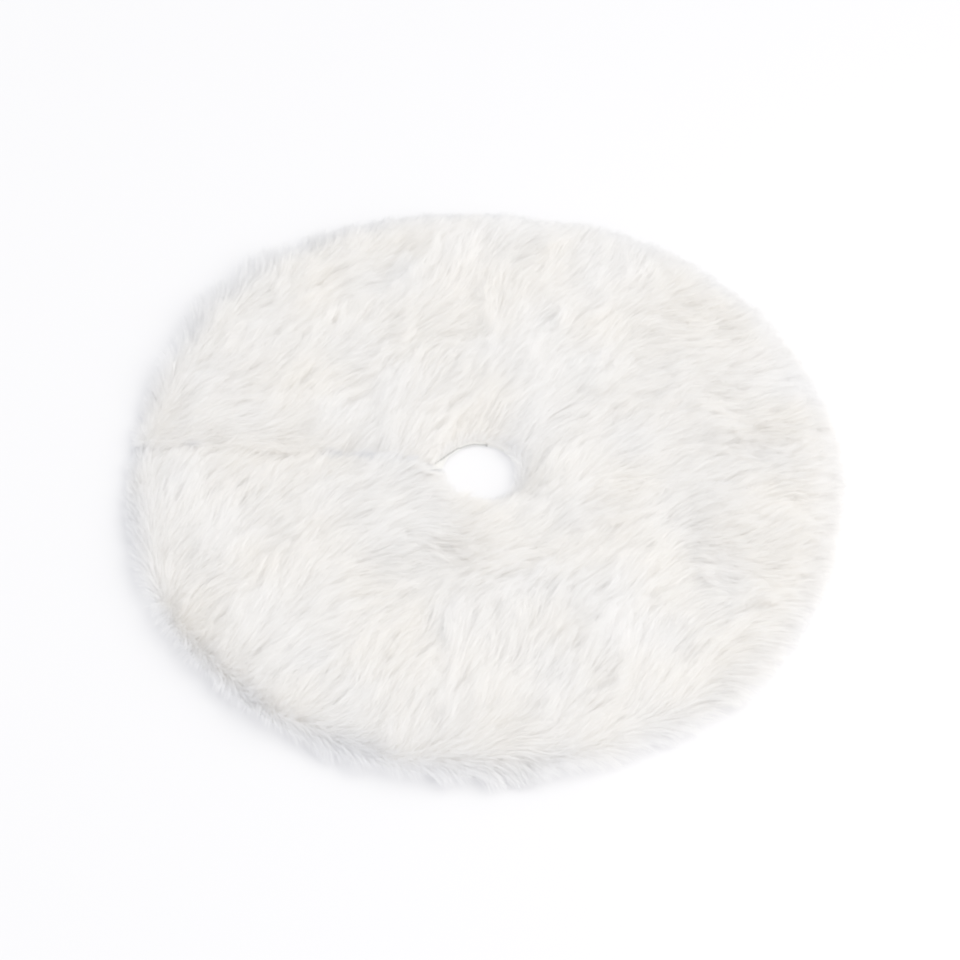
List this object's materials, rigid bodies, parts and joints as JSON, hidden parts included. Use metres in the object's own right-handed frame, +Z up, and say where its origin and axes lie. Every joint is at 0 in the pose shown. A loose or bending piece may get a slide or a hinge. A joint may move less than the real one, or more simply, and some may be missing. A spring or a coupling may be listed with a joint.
{
  "type": "tree skirt",
  "caption": "Round tree skirt of white long-pile plush cloth with a centre trunk hole, a slit that opens at a fold-back flap, and hidden hook-and-loop tapes.",
  "frame": {"origin": "on the floor under the middle of the trunk hole, which is also the middle of the skirt's outline", "axes": "+Z up, out of the pile; the slit runs from the hole along -X to the hem; -Y is the front and +Y the side whose slit edge lifts"},
  "size_m": [0.936, 0.936, 0.036],
  "materials": {
    "white_fur": "long combed synthetic pile, matt, slightly warm white",
    "white_lining": "plain woven, matt",
    "white_tape": "fine twill tape, matt, stitched along its edges",
    "white_hook_tape": "stiff hook tape, satin",
    "white_loop_tape": "brushed loop pile, matt",
    "white_label": "smooth satin ribbon, blank"
  },
  "bodies": {
    "skirt": {"fur_cloth_main": "white_fur", "fur_fold_band": "white_fur", "lining_main": "white_lining", "hem_facing_main": "white_tape", "hole_facing_main": "white_tape", "slit_underlap": "white_tape", "hook_tape_1": "white_hook_tape", "hook_tape_2": "white_hook_tape", "hook_tape_3": "white_hook_tape", "care_label": "white_label"},
    "flap": {"fur_cloth_flap": "white_fur", "lining_flap": "white_lining", "hem_facing_flap": "white_tape", "hole_facing_flap": "white_tape", "slit_back_facing": "white_tape", "loop_tape_1": "white_loop_tape", "loop_tape_2": "white_loop_tape", "loop_tape_3": "white_loop_tape"}
  },
  "joints": [
    {"name": "slit_flap_fold", "type": "hinge", "parent": "skirt", "child": "flap", "pos_m": [0, 0.25, 0.0038], "axis": [0, 1, 0], "range_deg": [0, 120], "deforming": ["fur_fold_band"]}
  ]
}
